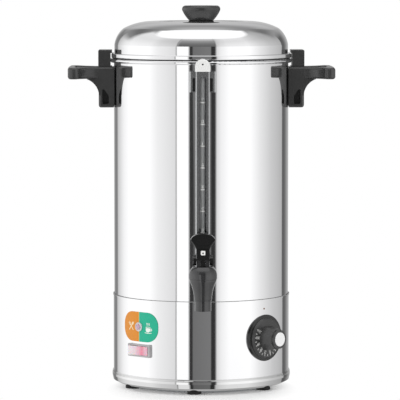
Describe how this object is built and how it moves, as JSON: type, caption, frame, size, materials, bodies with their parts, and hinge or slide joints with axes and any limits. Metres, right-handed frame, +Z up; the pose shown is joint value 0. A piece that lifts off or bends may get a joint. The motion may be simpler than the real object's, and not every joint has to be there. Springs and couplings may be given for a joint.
{
  "type": "hot water urn",
  "caption": "Free-standing steel water boiler with a twist-lock lid, two side handles, a sight gauge above a self-closing lever tap, and a thermostat dial and rocker switch on its base.",
  "frame": {"origin": "on the tank's axis, on the plane that the feet stand on", "axes": "+Z up along the tank's axis; the tap and the sight gauge face -Y; the handles lie on +X and -X"},
  "size_m": [0.336, 0.2811, 0.4797],
  "materials": {
    "stainless": "polished",
    "bright_trim": "bright",
    "zinc_sheet": "galvanised",
    "foot_rubber": "moulded",
    "zinc_fastener": "zinc plated",
    "seal_silicone": "moulded",
    "bakelite": "gloss black",
    "gauge_glass": "clear",
    "tap_plastic": "moulded black",
    "spring_steel": "wire",
    "dial_plastic": "moulded black",
    "cap_silver": "satin",
    "copper_tube": "drawn",
    "badge_print": "printed in two colours",
    "pale_plastic": "moulded",
    "lamp_lens": "clear pink",
    "switch_frame": "moulded grey",
    "rocker_red": "translucent red",
    "brass_pin": "bright",
    "aluminium_plate": "cast",
    "element_sheath": "heat stained"
  },
  "bodies": {
    "urn": {"tank_shell": "stainless", "tank_floor": "stainless", "base_skirt": "stainless", "base_ring": "bright_trim", "bottom_cover": "zinc_sheet", "feet": "foot_rubber", "foot_screws": "zinc_fastener", "foot_nuts": "zinc_fastener", "handle_right": "bakelite", "handle_left": "bakelite", "handle_brackets": "stainless", "handle_screws": "zinc_fastener", "gauge_guard": "bright_trim", "gauge_saddle": "bright_trim", "gauge_cap": "pale_plastic", "gauge_tube": "gauge_glass", "gauge_seals": "seal_silicone", "gauge_union": "bright_trim", "tap_body": "tap_plastic", "tap_bonnet": "tap_plastic", "tap_washers": "seal_silicone", "tap_nut": "tap_plastic", "lever_pin": "zinc_fastener", "tap_spring": "spring_steel", "dial_bezel": "dial_plastic", "thermostat": "zinc_sheet", "thermostat_screws": "zinc_fastener", "thermostat_bulb": "copper_tube", "thermostat_capillary": "copper_tube", "status_badge": "badge_print", "lamp_body": "pale_plastic", "lamp_nut": "pale_plastic", "lamp_lens": "lamp_lens", "switch_housing": "switch_frame", "power_inlet": "dial_plastic", "inlet_pins": "brass_pin", "inlet_screws": "zinc_fastener", "heat_spreader": "aluminium_plate", "heating_element": "element_sheath", "clamp_bar": "zinc_sheet", "heater_stud": "zinc_fastener", "heater_nut": "zinc_fastener", "boil_dry_cutout": "pale_plastic", "terminal_block": "pale_plastic", "earth_stud": "brass_pin", "earth_nut": "brass_pin"},
    "seal_ring": {"lid_seal": "seal_silicone"},
    "lid": {"lid": "stainless", "knob_washer": "seal_silicone", "lid_knob": "bakelite", "knob_screw": "zinc_fastener"},
    "tap_lever": {"tap_lever": "tap_plastic"},
    "tap_stem": {"tap_stem": "zinc_fastener", "tap_seat_cup": "seal_silicone"},
    "thermostat_knob": {"thermostat_knob": "dial_plastic", "knob_cap": "cap_silver", "thermostat_shaft": "zinc_fastener"},
    "switch_rocker": {"switch_rocker": "rocker_red"}
  },
  "joints": [
    {"name": "lid_lift", "type": "slide", "parent": "urn", "child": "seal_ring", "axis": [0, 0, 1], "range_m": [0, 0.1]},
    {"name": "lid_twist", "type": "hinge", "parent": "seal_ring", "child": "lid", "pos_m": [0, 0, 0.4145], "axis": [0, 0, 1], "range_deg": [0, 46]},
    {"name": "tap_lever_tilt", "type": "hinge", "parent": "urn", "child": "tap_lever", "pos_m": [0, -0.148, 0.172], "axis": [1, 0, 0], "range_deg": [0, 40]},
    {"name": "tap_stem_lift", "type": "slide", "parent": "urn", "child": "tap_stem", "axis": [0, 0, 1], "range_m": [0, 0.004], "stiffness_N_per_m": 600, "springref_m": -0.01, "deforming": ["tap_spring"]},
    {"name": "thermostat_turn", "type": "hinge", "parent": "urn", "child": "thermostat_knob", "pos_m": [0.07842, -0.07842, 0.068], "axis": [-0.7071, 0.7071, 0], "range_deg": [0, 280]},
    {"name": "switch_tip", "type": "hinge", "parent": "urn", "child": "switch_rocker", "pos_m": [-0.07815, -0.07925, 0.0525], "axis": [0, 0, 1], "range_deg": [-16, 0]}
  ],
  "couplings": [
    {"joint": "tap_lever_tilt", "follows": "tap_stem_lift", "rad_per_m": 174.5}
  ]
}
